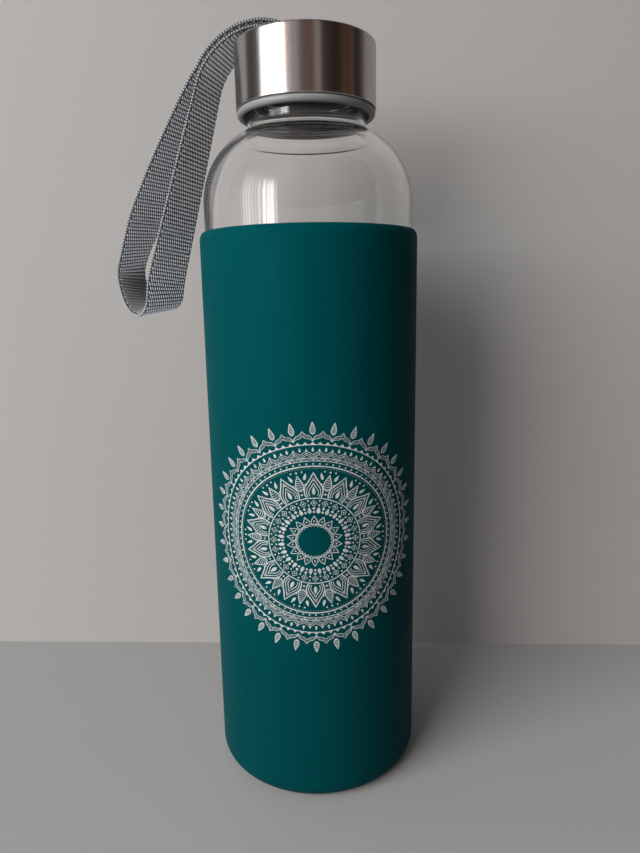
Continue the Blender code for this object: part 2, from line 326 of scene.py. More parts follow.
def lathe(name, profile, mat, segments=192, shape=None):
    """Turn a closed profile about Z. shape(angles, r, z) may change the radius round the ring."""
    angles = np.linspace(0, 2 * math.pi, segments, endpoint=False)
    verts, rings = [], []
    for r, z in profile:
        start = len(verts)
        if r < 1e-9:
            verts.append((0, 0, z))
            rings.append([start])
            continue
        radii = shape(angles, r, z) if shape else np.full(segments, r)
        verts += list(zip(radii * np.cos(angles), radii * np.sin(angles), np.full(segments, z)))
        rings.append(range(start, start + segments))
    faces = []
    for k, ring in enumerate(rings):
        following = rings[(k + 1) % len(rings)]
        if len(ring) == 1 and len(following) == 1:
            continue
        for i in range(segments):
            j = (i + 1) % segments
            corners = [ring[i % len(ring)], ring[j % len(ring)]]
            corners += [following[j % len(following)], following[i % len(following)]]
            faces.append(list(dict.fromkeys(corners)))
    return new_mesh(name, verts, faces, mat)


THREAD_HALF = 0.0009
THREAD_FLANK = 0.0005
THREAD_RUN_OUT = 0.13


def thread_height(angles, z, start_z, turns):
    """Height of the thread ridge, 0 to 1, at a height z for each angle."""
    best = np.zeros_like(angles)
    for turn in range(int(turns) + 2):
        along = angles / (2 * math.pi) + turn
        off = np.abs(z - (start_z + PITCH * along))
        ridge = np.clip((THREAD_HALF - off) / THREAD_FLANK, 0, 1)
        fade = np.clip(np.minimum(along, turns - along) / THREAD_RUN_OUT, 0, 1)
        best = np.maximum(best, ridge * ridge * (3 - 2 * ridge) * fade)
    return best


# ------------ bottle and cap

def make_glass():
    """Outside from the base up to the lip, then inside back down: a wall of even thickness.

    The shoulder's arc meets the neck's root fillet in an edge outside and in a crease inside.
    """
    arc_r = GLASS_R - SHOULDER_ARC
    root_r = NECK_R + ROOT_FILLET
    edge_r = root_r + ROOT_FILLET * math.cos(math.radians(ROOT_FILLET_END))
    meet = math.degrees(math.acos((edge_r - arc_r) / SHOULDER_ARC))
    edge_z = SHOULDER_Z + SHOULDER_ARC * math.sin(math.radians(meet))
    root_z = edge_z - ROOT_FILLET * math.sin(math.radians(ROOT_FILLET_END))
    corner = GLASS_CORNER
    hollow_z = GLASS_BASE + GLASS_PUNT
    profile = [(0, hollow_z), (0.020, hollow_z), (0.0225, GLASS_BASE)]
    profile += arc(GLASS_R - corner, GLASS_BASE + corner, corner, corner, -90, 0, 16)
    profile += column(GLASS_R, GLASS_BASE + corner, SHOULDER_Z, 12)
    profile += arc(arc_r, SHOULDER_Z, SHOULDER_ARC, SHOULDER_ARC, 0, meet, 40)
    profile += arc(root_r, root_z, ROOT_FILLET, ROOT_FILLET, ROOT_FILLET_END, -180, 16)[1:]
    lip = GLASS_WALL / 2
    profile += column(NECK_R, root_z, LIP_Z - lip, 64)
    profile += arc(NECK_R - lip, LIP_Z - lip, lip, lip, 0, 180, 14)
    inner_r = GLASS_R - GLASS_WALL
    dome, root = inner_r - arc_r, ROOT_FILLET + GLASS_WALL
    crease_r, crease_z = crossing(arc_r, SHOULDER_Z, dome, root_r, root_z, root)
    root_end = 360 + math.degrees(math.atan2(crease_z - root_z, crease_r - root_r))
    dome_start = math.degrees(math.atan2(crease_z - SHOULDER_Z, crease_r - arc_r))
    profile += arc(root_r, root_z, root, root, 180, root_end, 16)
    profile += arc(arc_r, SHOULDER_Z, dome, dome, dome_start, 0, 40)[1:]
    floor_z = GLASS_BASE + GLASS_FLOOR
    corner = GLASS_INNER_CORNER
    profile += column(inner_r, SHOULDER_Z, floor_z + corner, 12)
    profile += arc(inner_r - corner, floor_z + corner, corner, corner, 0, -90, 16)
    profile += [(0.012, floor_z + GLASS_PUNT / 2), (0, floor_z + GLASS_PUNT)]

    def shape(angles, r, z):
        if abs(r - NECK_R) < 1e-6 and z > root_z:
            return r + THREAD_HEIGHT * thread_height(angles, z, THREAD_Z, NECK_THREAD_TURNS)
        return np.full(len(angles), r)

    glass = lathe("bottle_glass", profile, glass_material(), 256, shape)
    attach(glass, "bottle")
    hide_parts("glass_bottle")


def make_sleeve():
    """A cup with rounded foot and rim, open at the top."""
    inner_r = SLEEVE_R - SLEEVE_WALL
    profile = [(0, 0), (0.012, 0), (0.022, 0)]
    corner = SLEEVE_CORNER
    profile += arc(SLEEVE_R - corner, corner, corner, corner, -90, 0, 18)
    rim_z = SLEEVE_TOP - RIM_DROP
    profile += column(SLEEVE_R, corner, rim_z, 60)
    profile += arc(inner_r + 0.0002, rim_z, SLEEVE_WALL - 0.0002, RIM_DROP, 0, 90, 14)
    profile += [(inner_r, SLEEVE_TOP - 0.0002)]
    profile += column(inner_r, SLEEVE_TOP, SLEEVE_CORNER, 24)
    corner -= SLEEVE_WALL
    profile += arc(inner_r - corner, SLEEVE_FLOOR + corner, corner, corner, 0, -90, 8)
    profile += [(0, SLEEVE_FLOOR)]
    sleeve = lathe("sleeve_silicone", profile, silicone_material(), 256)
    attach(sleeve, "sleeve")
    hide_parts("silicone_sleeve")


SLOT_WIDTH = 0.0042
SLOT_LENGTH = 0.0176
SLOT_CORNER = 0.0012
CUT_DEPTH = 0.002


def cut_slot(target):
    """Cut the rounded slot through the flat top, along the strap's width."""
    outline = []
    for quarter, (sign_a, sign_b) in enumerate(((1, 1), (-1, 1), (-1, -1), (1, -1))):
        for i in range(9):
            angle = math.pi / 2 * (quarter + i / 8)
            a = sign_a * (SLOT_WIDTH / 2 - SLOT_CORNER) + SLOT_CORNER * math.cos(angle)
            b = sign_b * (SLOT_LENGTH / 2 - SLOT_CORNER) + SLOT_CORNER * math.sin(angle)
            outline.append(STRAP_OUT * a + STRAP_ACROSS * b)
    count = len(outline)
    verts = [p + UP * z for z in (CAP_TOP - CUT_DEPTH, CAP_TOP + CUT_DEPTH) for p in outline]
    faces = [list(range(count)), list(range(count, 2 * count))]
    faces += [[i, (i + 1) % count, count + (i + 1) % count, count + i] for i in range(count)]
    cutter = new_mesh("slot_cutter", verts, faces, target.data.materials[0])
    modifier = target.modifiers.new("slot", "BOOLEAN")
    modifier.operation = "DIFFERENCE"
    modifier.solver = "EXACT"
    modifier.object = cutter
    bpy.context.view_layer.update()
    graph = bpy.context.evaluated_depsgraph_get()
    result = bpy.data.meshes.new_from_object(target.evaluated_get(graph))
    target.modifiers.clear()
    target.data = result
    bpy.data.objects.remove(cutter, do_unlink=True)


def sharpen(obj, degrees):
    obj.data.set_sharp_from_angle(angle=math.radians(degrees))


def make_cap_shell():
    """A thin steel drum, open below, with a rolled lower edge and a slot in its top."""
    edge, hem = CAP_EDGE, STEEL / 2
    inner_r = CAP_R - STEEL
    profile = [(0, CAP_TOP)]
    profile += [(CAP_R * share, CAP_TOP) for share in (0.7, 0.85, 0.93)]
    profile += arc(CAP_R - edge, CAP_TOP - edge, edge, edge, 90, 0, 10)
    profile += column(CAP_R, CAP_TOP - edge, CAP_BOTTOM + 0.0002, 16)
    profile += arc(CAP_R - hem, CAP_BOTTOM + hem, hem, hem, 0, -180, 8)
    profile += [(inner_r, CAP_TOP - STEEL - 0.0003), (inner_r - 0.0003, CAP_TOP - STEEL)]
    profile += [(0, CAP_TOP - STEEL)]
    steel = steel_material("brushed_steel", 0.24, (1, 1, 90))
    shell = lathe("cap_steel_shell", profile, steel, 256)
    cut_slot(shell)
    sharpen(shell, 40)
    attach(shell, "cap")
    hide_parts("cap_shell")


def make_cap_insert():
    """A plug in the steel shell, with a rounded flange below it and the thread inside."""
    plate = INSERT_TOP - INSERT_PLATE
    outer_r = CAP_R - STEEL - FIT_GAP
    flange_r = CAP_R - 0.0002
    flange_top = CAP_BOTTOM - FIT_GAP
    inner_edge = 0.0006
    profile = [(0, INSERT_TOP), (outer_r - 0.0005, INSERT_TOP), (outer_r, INSERT_TOP - 0.0005)]
    profile += [(outer_r, flange_top), (flange_r - 0.0002, flange_top)]
    profile += arc(flange_r - 0.0011, INSERT_BOTTOM + 0.0013, 0.0011, 0.0013, 0, -90, 12)
    profile += arc(INSERT_BORE + inner_edge, INSERT_BOTTOM + inner_edge, inner_edge, inner_edge,
                   -90, -180, 6)
    profile += column(INSERT_BORE, INSERT_BOTTOM + inner_edge, plate, 56)
    profile += [(INSERT_BORE, plate), (0, plate)]

    def shape(angles, r, z):
        if abs(r - INSERT_BORE) < 1e-6:
            ridge = thread_height(angles, z, THREAD_Z + PITCH / 2, INSERT_THREAD_TURNS)
            return r - THREAD_HEIGHT * ridge
        return np.full(len(angles), r)

    insert = lathe("cap_plastic_insert", profile, plastic_material(), 192, shape)
    sharpen(insert, 50)
    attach(insert, "cap")
    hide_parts("cap_insert")


def make_seal():
    low = bottom_of("seal_ring")
    half = (top_of("seal_ring") - low) / 2
    profile = arc(SEAL_R - half, low + half, half, half, -90, 90, 10)
    profile += arc(SEAL_BORE + half, low + half, half, half, 90, 270, 10)
    seal = lathe("seal_silicone", profile, seal_material(), 128)
    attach(seal, "seal")
    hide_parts("seal_ring")


# ------------ webbing

# The strap leaves the slot at the start angle, bends over an arch to the hang angle, and runs
# straight down. Its two legs part from the spread start on, and the loop turns at the bottom.
STRAP_HEADING = math.radians(164.5)
STRAP_OUT = Vector((math.cos(STRAP_HEADING), math.sin(STRAP_HEADING), 0))
STRAP_ACROSS = Vector((math.sin(STRAP_HEADING), -math.cos(STRAP_HEADING), 0))
HINGE_Z = CAP_TOP + 0.0007
START_ANGLE = math.radians(39.5)
HANG_ANGLE = math.radians(-72.5)
ARCH_R = 0.0202
BEND_END = (START_ANGLE - HANG_ANGLE) * ARCH_R
LEG = 0.101
TURN_REACH = 0.0113
TURN_ANGLE = math.radians(-93)
TURN_LIFT = 0.20
TWIST_APART_START = 0.078
TURN_TWIST = math.radians(17)
SPREAD_START = 0.0355
SPREAD = 0.0176
TWIST_START = 0.028
TWIST_PER_M = math.radians(307)
LAYER_GAP = 0.0016
WEB_WIDTH = 0.0158
WEB_THICK = 0.0010
ROOT_DEPTH = 0.0034
ROOT_BEND = 0.003
ROOT_UPRIGHT = 0.0012
PATH_STEP = 0.0006
SAMPLE_PITCH = 0.0003
ROW_PITCH = 0.0012
COLUMN_PITCH = 0.00092
LOOP_PITCH = 0.0009
FLOAT_LEAN = 0.0002
# Yarn bumps: length, width and height, then how deep the tips, flanks and belly are sunk, and the
# height of the flanks as a share of the crest.
FLOAT_SHAPE = (0.00112, 0.00052, 0.00024, 0.0001, 0.00004, 0.00022, 0.35)
LOOP_SHAPE = (0.00046, 0.0007, 0.00038, 0.0003, 0.0002, 0.0005, 0.3)
# Along a bump: place, height and width, all relative.
STATIONS = ((-1, 0, 0), (-0.66, 0.72, 0.85), (0, 1, 1), (0.66, 0.72, 0.85), (1, 0, 0))
EASE_STEPS, EASE_MARGIN, EASE_FADE = 27, 40, 31
EYE_R = 0.0015
TAIL_APART = 0.0008
TAIL_DROP = 0.0012


def leg_angle(distance):
    """Slope of the strap in its own upright plane. It stands up where it leaves the slot."""
    if distance < ROOT_BEND:
        share = smooth((ROOT_BEND - distance) / (ROOT_BEND + ROOT_UPRIGHT))
        base = START_ANGLE - max(distance, 0) / ARCH_R
        return base + (math.pi / 2 - base) * share
    return START_ANGLE - min(distance, BEND_END) / ARCH_R


def leg_path(step):
    """Frames (distance, place, direction, flat normal) down the middle of one layer."""
    count = int(round((LEG + ROOT_DEPTH) / step))
    distances = [LEG - (LEG + ROOT_DEPTH) * i / count for i in range(count + 1)]
    out = ARCH_R * (math.sin(START_ANGLE) - math.sin(HANG_ANGLE))
    rise = ARCH_R * (math.cos(HANG_ANGLE) - math.cos(START_ANGLE))
    out += (LEG - BEND_END) * math.cos(HANG_ANGLE)
    rise += (LEG - BEND_END) * math.sin(HANG_ANGLE)
    frames = []
    for k, distance in enumerate(distances):
        if k:
            middle = leg_angle((distance + distances[k - 1]) / 2)
            out -= (distances[k - 1] - distance) * math.cos(middle)
            rise -= (distances[k - 1] - distance) * math.sin(middle)
        angle = leg_angle(distance)
        direction = STRAP_OUT * math.cos(angle) + UP * math.sin(angle)
        flat = UP * math.cos(angle) - STRAP_OUT * math.sin(angle)
        frames.append((distance, STRAP_OUT * out + UP * (HINGE_Z + rise), direction, flat))
    return frames[::-1]


def twisted(flat, twist):
    """The normal and the width's direction of the tape, turned about its length."""
    normal = flat * math.cos(twist) + STRAP_ACROSS * math.sin(twist)
    return normal, STRAP_ACROSS * math.cos(twist) - flat * math.sin(twist)


def smooth(share):
    """Ease from 0 to 1, level at both ends."""
    share = min(1.0, max(0.0, share))
    return share * share * (3 - 2 * share)


def leg_spacing(distance):
    share = max(0.0, distance - SPREAD_START) / (LEG - SPREAD_START)
    return LAYER_GAP + SPREAD * (1.1 * share - 0.1 * share * share)


def strap_path(step):
    """The whole loop as (place, normal, across): down the inner leg, round, up the outer leg."""
    inner, outer = [], []
    frames = leg_path(step)
    for distance, place, _, flat in frames:
        twist = TWIST_PER_M * max(0.0, distance - TWIST_START)
        normal, across = twisted(flat, twist)
        apart = smooth((distance - TWIST_APART_START) / (LEG - TWIST_APART_START))
        far_normal, far_across = twisted(flat, twist - TURN_TWIST * apart)
        inner.append((place - normal * (LAYER_GAP / 2), normal, across))
        far_place = place + normal * (leg_spacing(distance) - LAYER_GAP / 2)
        outer.append((far_place, -far_normal, far_across))
    reach = STRAP_OUT * math.cos(TURN_ANGLE) + UP * math.sin(TURN_ANGLE)
    end, normal, across = inner[-1]
    far_across = outer[-1][2]
    radius = leg_spacing(LEG) / 2
    middle = end + normal * radius
    steps = int(math.pi * radius * 2 / step)
    turn = []
    for i in range(1, steps):
        angle = math.pi * i / steps
        sin, cos = math.sin(angle), math.cos(angle)
        place = middle + reach * (TURN_REACH * sin) - normal * (radius * cos)
        tangent = (reach * (TURN_REACH * cos) + normal * (radius * sin)).normalized()
        share = smooth(i / steps)
        sideways = across * (1 - share) + far_across * share + UP * (TURN_LIFT * sin)
        sideways = (sideways - tangent * sideways.dot(tangent)).normalized()
        turn.append((place, sideways.cross(tangent), sideways))
    path = inner + turn + outer[::-1]
    return rounded(path, len(inner), len(inner) + len(turn))


def rounded(path, first, last):
    """Ease the corners where the legs meet the turn, then square the frames to the path again."""
    kernel = np.hanning(EASE_STEPS)
    kernel /= kernel.sum()
    weight = np.zeros(len(path))
    weight[first - EASE_MARGIN:last + EASE_MARGIN] = 1
    weight = np.convolve(weight, np.ones(EASE_FADE) / EASE_FADE, "same")[:, None]
    parts = []
    for part in (0, 1):
        hard = np.array([f[part] for f in path])
        soft = np.stack([np.convolve(hard[:, axis], kernel, "same") for axis in range(3)], 1)
        parts.append(hard * (1 - weight) + soft * weight)
    along = np.gradient(parts[0], axis=0)
    result = []
    for place, tangent, normal, (_, _, across) in zip(parts[0], along, parts[1], path):
        tangent, normal = Vector(tangent).normalized(), Vector(normal)
        normal = (normal - tangent * normal.dot(tangent)).normalized()
        side = tangent.cross(normal)
        result.append((Vector(place), normal, side if side.dot(across) > 0 else -side))
    return result


def resample(path, pitch):
    """Frames at an even pitch along a path of (place, normal, across)."""
    places = np.array([f[0] for f in path])
    steps = np.linalg.norm(np.diff(places, axis=0), axis=1)
    run = np.concatenate([[0], np.cumsum(steps)])
    marks = np.arange(0, run[-1], pitch)
    columns = []
    for part in range(3):
        data = np.array([f[part] for f in path])
        columns.append(np.stack([np.interp(marks, run, data[:, c]) for c in range(3)], 1))
    for part in (1, 2):
        columns[part] /= np.linalg.norm(columns[part], axis=1, keepdims=True)
    return marks, columns


def frame_at(marks, columns, where):
    index = np.interp(where, marks, np.arange(len(marks)))
    low = int(index)
    high = min(low + 1, len(marks) - 1)
    share = index - low
    return [column[low] * (1 - share) + column[high] * share for column in columns]


def webbing(name, path, mats):
    """Woven webbing: a core tape, raised warp floats on both faces, weft loops at both edges."""
    marks, columns = resample(path, SAMPLE_PITCH)
    length = marks[-1]
    verts, faces, slots = [], [], []
    half_w, half_t = WEB_WIDTH / 2, WEB_THICK / 2
    section = [(half_t, half_w - 0.0004), (half_t * 0.55, half_w - 0.0001)]
    section += [(-a, b) for a, b in section[::-1]]
    section += [(-a, -b) for a, b in section]
    count = int(length / LOOP_PITCH)
    for i in range(count + 1):
        place, normal, across = frame_at(marks, columns, length * i / count)
        verts += [place + normal * a + across * b for a, b in section]
    size = len(section)
    # Slot 1 is the core, partly painted shade between the floats.
    for i in range(count):
        for k in range(size):
            m = (k + 1) % size
            faces.append([i * size + k, i * size + m, (i + 1) * size + m, (i + 1) * size + k])
            slots.append(1)
    faces += [list(range(size)), list(range(count * size, (count + 1) * size))]
    slots += [1, 1]

    def lump(where, side, offset, sizes, lean=0.0):
        """A low bump of yarn on one face (side = 1 or -1), or out of an edge (side = 0)."""
        long, wide, high, tip, foot, belly, flank = sizes
        start = len(verts)
        for along, lift, narrow in STATIONS:
            place, normal, across = frame_at(marks, columns, where + along * long / 2)
            if side:
                place = place + across * (offset + lean * along)
                out, aside, level = normal * side, across, half_t
            else:
                out, aside, level = across * math.copysign(1, offset), normal, half_w
            if not lift:
                verts.append(place + out * (level - tip))
                continue
            for b in (-1, 0, 1):
                rise = level - foot + high * lift * (flank if b else 1.0)
                verts.append(place + out * rise + aside * (b * wide / 2 * narrow))
            verts.append(place + out * (level - belly))
        for k in range(4):
            m = (k + 1) % 4
            faces.append([start, start + 1 + m, start + 1 + k])
            for ring in (start + 1, start + 5):
                faces.append([ring + k, ring + m, ring + 4 + m, ring + 4 + k])
            faces.append([start + 9 + k, start + 9 + m, start + 13])
        # Slot 0 is the float yarn, partly painted highlight.
        slots.extend([0] * 16)

    across_count = int(WEB_WIDTH / COLUMN_PITCH)
    for row in range(1, int(length / ROW_PITCH)):
        stagger = (row % 2) * 0.5
        for column in range(across_count):
            offset = (column + 0.25 + stagger - across_count / 2) * COLUMN_PITCH
            if abs(offset) > half_w - 0.00045:
                continue
            for side in (1, -1):
                wobble = random.uniform(-1, 1)
                long, wide, high, *rest = FLOAT_SHAPE
                sizes = (long, wide, high + 0.00002 * wobble, *rest)
                lump((row + 0.04 * wobble) * ROW_PITCH, side, offset, sizes, -FLOAT_LEAN * side)
    for loop in range(1, count):
        for side in (1, -1):
            lump((loop + 0.2 * side) * LOOP_PITCH, 0, side * half_w, LOOP_SHAPE)
    return new_mesh(name, verts, faces, mats, face_slots=slots)


def make_strap():
    """The hanging loop, its folded tail under the steel, and the pin's finish."""
    # The float yarn is partly painted highlight: lighter than the yarn itself, it stands in for
    # glints off the shiny fibres.
    light = yarn_material("webbing_yarn_and_painted_highlight", (0.60, 0.61, 0.63), (0.76, 0.77, 0.79), 0.3)
    # The core is partly painted shade: its darkness stands in for the shade between the raised
    # floats.
    dark = yarn_material("webbing_core_and_painted_shade", (0.055, 0.058, 0.064), (0.085, 0.09, 0.098), 0.1)
    strap = webbing("strap_webbing", strap_path(PATH_STEP), [light, dark])
    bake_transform(strap)
    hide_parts("strap_loop")

    pin_low, pin_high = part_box("strap_pin")
    pin_centre = (pin_low + pin_high) / 2
    top_z = CAP_TOP - TAIL_DROP
    fold = []
    for side in (-1, 1):
        leg = []
        for i in range(8):
            share = i / 7
            out = side * (TAIL_APART + (EYE_R - TAIL_APART) * share * share)
            z = top_z + (pin_centre.z - top_z) * share
            leg.append((STRAP_OUT * out + UP * z, STRAP_OUT * side, STRAP_ACROSS))
        fold.append(leg)
    turn = []
    for i in range(1, 12):
        angle = math.pi * i / 12
        radial = STRAP_OUT * -math.cos(angle) - UP * math.sin(angle)
        turn.append((pin_centre + radial * EYE_R, radial, STRAP_ACROSS))
    tail = webbing("strap_tail_fold", fold[0] + turn + fold[1][::-1], [light, dark])
    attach(tail, "cap")
    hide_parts("strap_tail")
    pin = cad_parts["strap_pin"]
    for spot in pin.material_slots:
        spot.material = steel_material("pin_steel", 0.3, (1, 1, 8))
    return strap


# ------------ print

PRINT_Z = 0.0866
STRETCH_ACROSS = 1.03
STRETCH_UP = 0.975
INK_TOP = 0.00006
INK_SUNK = 0.00003


class Ink:
    """Collects flat shapes in mm from the print's centre and wraps them as thin solids."""

    def __init__(self):
        self.verts = []
        self.faces = []

    def slab(self, points, tops, loops):
        start = len(self.verts)
        count = len(points)
        for lift in (INK_TOP, -INK_SUNK):
            for u, v in points:
                angle = u * STRETCH_ACROSS / 1000 / SLEEVE_R
                r = SLEEVE_R + lift
                z = PRINT_Z + v * STRETCH_UP / 1000
                self.verts.append((r * math.sin(angle), -r * math.cos(angle), z))
        for top in tops:
            self.faces.append([start + i for i in top])
            self.faces.append([start + count + i for i in reversed(top)])
        for loop in loops:
            for i, a in enumerate(loop):
                b = loop[(i + 1) % len(loop)]
                self.faces.append([start + b, start + a, start + count + a, start + count + b])

    def strip(self, line, widths, closed=False):
        """A band along a line of points, with one full width or one for each point."""
        line = np.array(line, float)
        count = len(line)
        if closed:
            along = np.roll(line, -1, 0) - np.roll(line, 1, 0)
        else:
            along = np.gradient(line, axis=0)
        along /= np.maximum(np.linalg.norm(along, axis=1, keepdims=True), 1e-9)
        half = np.broadcast_to(widths, count)[:, None] / 2
        side = np.stack([-along[:, 1], along[:, 0]], 1) * half
        points = list(line + side) + list(line - side)
        last = count if closed else count - 1
        tops = [[i, (i + 1) % count, count + (i + 1) % count, count + i] for i in range(last)]
        if closed:
            loops = [list(range(count)), list(range(2 * count - 1, count - 1, -1))]
        else:
            loops = [list(range(count)) + list(range(2 * count - 1, count - 1, -1))]
        self.slab(points, tops, loops)

    def patch(self, points):
        ring = list(range(len(points)))
        self.slab(points, [ring], [ring])


def polar(radius, turn):
    """turn in degrees clockwise from the top of the print."""
    angle = math.radians(turn)
    return np.array((radius * math.sin(angle), radius * math.cos(angle)))


class Spot:
    """Local axes at a place on the print: x across, y outward from the print's centre."""

    def __init__(self, radius, turn, lean=0.0):
        self.place = polar(radius, turn)
        angle = math.radians(turn + lean)
        self.out = np.array((math.sin(angle), math.cos(angle)))
        self.side = np.array((math.cos(angle), -math.sin(angle)))

    def at(self, x, y):
        return self.place + self.side * x + self.out * y

    def line(self, points):
        return [self.at(x, y) for x, y in points]


def circle_points(radius, sides, centre=(0, 0)):
    """Corners of a regular polygon, clockwise."""
    x, y = centre
    angles = [math.radians(360 * i / sides) for i in reversed(range(sides))]
    return [(x + radius * math.cos(angle), y + radius * math.sin(angle)) for angle in angles]


def ring(ink, radius, width):
    ink.strip([polar(radius, t) for t in np.linspace(0, 360, 240, endpoint=False)], width, True)


def dot(ink, spot, x, y, radius, sides=7):
    ink.patch(spot.line(circle_points(radius, sides, (x, y))))


def leaf(ink, spot, length, width, start=0.0):
    """A filled leaf that grows outward from the spot."""
    line, widths = [], []
    for i in range(8):
        share = i / 7
        line.append(spot.at(0, start + length * share))
        widths.append(0.06 + width * math.sin(math.pi * share ** 0.75) * (1 - 0.35 * share))
    ink.strip(line, widths)


def bulge(width, share):
    """Half width of an outlined leaf at a share of its length."""
    return width / 2 * math.sin(math.pi * share ** 0.7) * (1 - 0.3 * share)


def outline_leaf(ink, spot, length, width, stroke):
    """A leaf drawn as two curved sides, with short ribs inside."""
    for side in (-1, 1):
        shares = [i / 8 for i in range(9)]
        ink.strip([spot.at(side * bulge(width, share), length * share) for share in shares], stroke)
    for i in range(1, 7):
        share = i / 7.5
        x, y = bulge(width, share) * 0.8, length * share
        ink.strip(spot.line([(-x, y + 0.10), (0, y - 0.12), (x, y + 0.10)]), stroke * 0.8)


# Half outline of an ogee petal from foot to tip, as shares of its half width and height.
OGEE = ((0.78, 0), (0.95, 0.12), (1.0, 0.27), (0.92, 0.42), (0.70, 0.56), (0.47, 0.68),
        (0.28, 0.80), (0.12, 0.91), (0, 1))


def petal(ink, spot, half_width, height, stroke, scale=1.0, lift=0.0):
    right = [(half_width * x * scale, lift + height * y * scale) for x, y in OGEE]
    left = [(-x, y) for x, y in right]
    ink.strip(spot.line(left + right[-2::-1]), stroke)


def print_border(ink):
    """Ribbed leaves on a scalloped band filled with dots, over a row of small triangles."""
    count = 36
    for k in range(count):
        turn = 360 * k / count
        outline_leaf(ink, Spot(32.3, turn), 3.6, 1.6, 0.24)
        half = 180 / count
        outer, inner = [], []
        for i in range(13):
            climb = 1 - abs(i / 6 - 1)
            rise = climb + 0.13 * math.sin(2 * math.pi * climb)
            angle = turn + half * i / 6
            outer.append(polar(30.8 + 2.5 * rise, angle))
            inner.append(polar(30.3 + 1.55 * rise, angle))
        ink.strip(outer, 0.18)
        ink.strip(inner, 0.15)
        for i in range(1, 12):
            gap = outer[i] - inner[i]
            for share in (0.33, 0.67) if np.linalg.norm(gap) > 1.1 else (0.5,):
                ink.patch([inner[i] + gap * share + p for p in np.array(circle_points(0.13, 5))])
        dot(ink, Spot(30.6, turn), 0, 0, 0.3)
    for k in range(90):
        spot = Spot(29.35, 4 * k)
        ink.patch(spot.line([(-0.66, 0.05), (0.66, 0.05), (0, 0.82)])[::-1])
    ring(ink, 29.3, 0.26)


def zigzag(ink, low, high, count, width):
    steps = 2 * count
    points = [polar(high if i % 2 else low, 360 * i / steps) for i in range(steps)]
    ink.strip(points, width, True)


def print_lace(ink):
    """Crossing zigzags with leaves and dots between, then diamonds, a ring and fine dots."""
    count = 48
    for k in range(count):
        turn = 360 * k / count
        leaf(ink, Spot(27.2, turn), 1.35, 0.75)
        leaf(ink, Spot(27.2, turn + 180 / count), 0.95, 0.6)
        dot(ink, Spot(26.75, turn + 180 / count), 0, 0, 0.22)
        dot(ink, Spot(24.95, turn), 0, 0, 0.2)
    zigzag(ink, 26.35, 27.55, count, 0.19)
    zigzag(ink, 25.75, 26.95, count, 0.16)
    zigzag(ink, 25.2, 26.35, count, 0.2)
    ring(ink, 25.35, 0.18)
    zigzag(ink, 24.55, 25.2, 2 * count, 0.16)
    ring(ink, 24.45, 0.18)
    for k in range(80):
        spot = Spot(23.6, 360 * k / 80)
        ink.patch(spot.line([(-0.3, 0), (0, -0.3), (0.3, 0), (0, 0.3)]))
    ring(ink, 22.9, 0.38)
    for k in range(190):
        dot(ink, Spot(22.25, 360 * k / 190), 0, 0, 0.1, 5)


def plain_petal(ink, turn):
    """A pointed petal with two inner outlines, a leaf and a dot."""
    spot = Spot(13.45, turn)
    for scale, lift, stroke in ((1, 0, 0.34), (0.76, 0.25, 0.22), (0.52, 0.5, 0.22)):
        petal(ink, spot, 2.6, 7.6, stroke, scale, lift)
    leaf(ink, spot, 2.6, 1.1, start=0.8)
    dot(ink, spot, 0, 5.1, 0.2)


def gap_leaf(ink, turn):
    """Between two petals: a ribbed leaf, two small leaves and dots."""
    outline_leaf(ink, Spot(15.6, turn), 4.9, 2.5, 0.24)
    dot(ink, Spot(14.6, turn), 0, 0, 0.32)
    dot(ink, Spot(21.3, turn), 0, 0, 0.3)
    for side in (-1, 1):
        leaf(ink, Spot(18.9, turn + side * 5.0, side * 20), 2.2, 0.9)
        dot(ink, Spot(21.4, turn + side * 4.2), 0, 0, 0.26)
        dot(ink, Spot(17.6, turn + side * 5.4), 0, 0, 0.22)


def print_petals(ink):
    ring(ink, 13.3, 0.3)
    count = 14
    for k in range(count):
        plain_petal(ink, 360 * k / count)
        gap_leaf(ink, 360 * (k + 0.5) / count)


def print_centre(ink):
    """Diamonds, leaves and dots round small petals. The middle stays plain."""
    count = 24
    for k in range(count):
        turn = 360 * k / count
        between = turn + 180 / count
        spot = Spot(11.8, turn)
        ink.strip(spot.line([(-0.85, 0), (0, -0.95), (0.85, 0), (0, 0.95)]), 0.2, True)
        dot(ink, spot, 0, 0, 0.28)
        leaf(ink, Spot(8.6, between), 2.1, 1.15)
        dot(ink, Spot(10.2, turn), 0, 0, 0.48, 4)
        for radius, size in ((11.2, 0.28), (12.5, 0.26)):
            dot(ink, Spot(radius, between), 0, 0, size)
        dot(ink, Spot(9.1, turn), 0, 0, 0.36)
    for k in range(18):
        small = Spot(5.5, 20 * k)
        petal(ink, small, 0.85, 2.4, 0.22)
        dot(ink, small, 0, 0.75, 0.26)
    ring(ink, 5.3, 0.26)
    zigzag(ink, 4.65, 5.1, 30, 0.2)


def make_print():
    ink_mat = ink_material()
    parts = (("print_border", print_border), ("print_lace_band", print_lace),
             ("print_petals", print_petals), ("print_centre", print_centre))
    for name, draw in parts:
        ink = Ink()
        draw(ink)
        obj = new_mesh(name, ink.verts, ink.faces, ink_mat, smooth=False)
        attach(obj, "sleeve")


# ------------ stage

FLOOR_Z = -0.0002
FLOOR_HALF = 3.0
WALL_HALF, WALL_HIGH = 1.3, 1.4
WALL_Y, WALL_SLANT = 0.062, -0.055


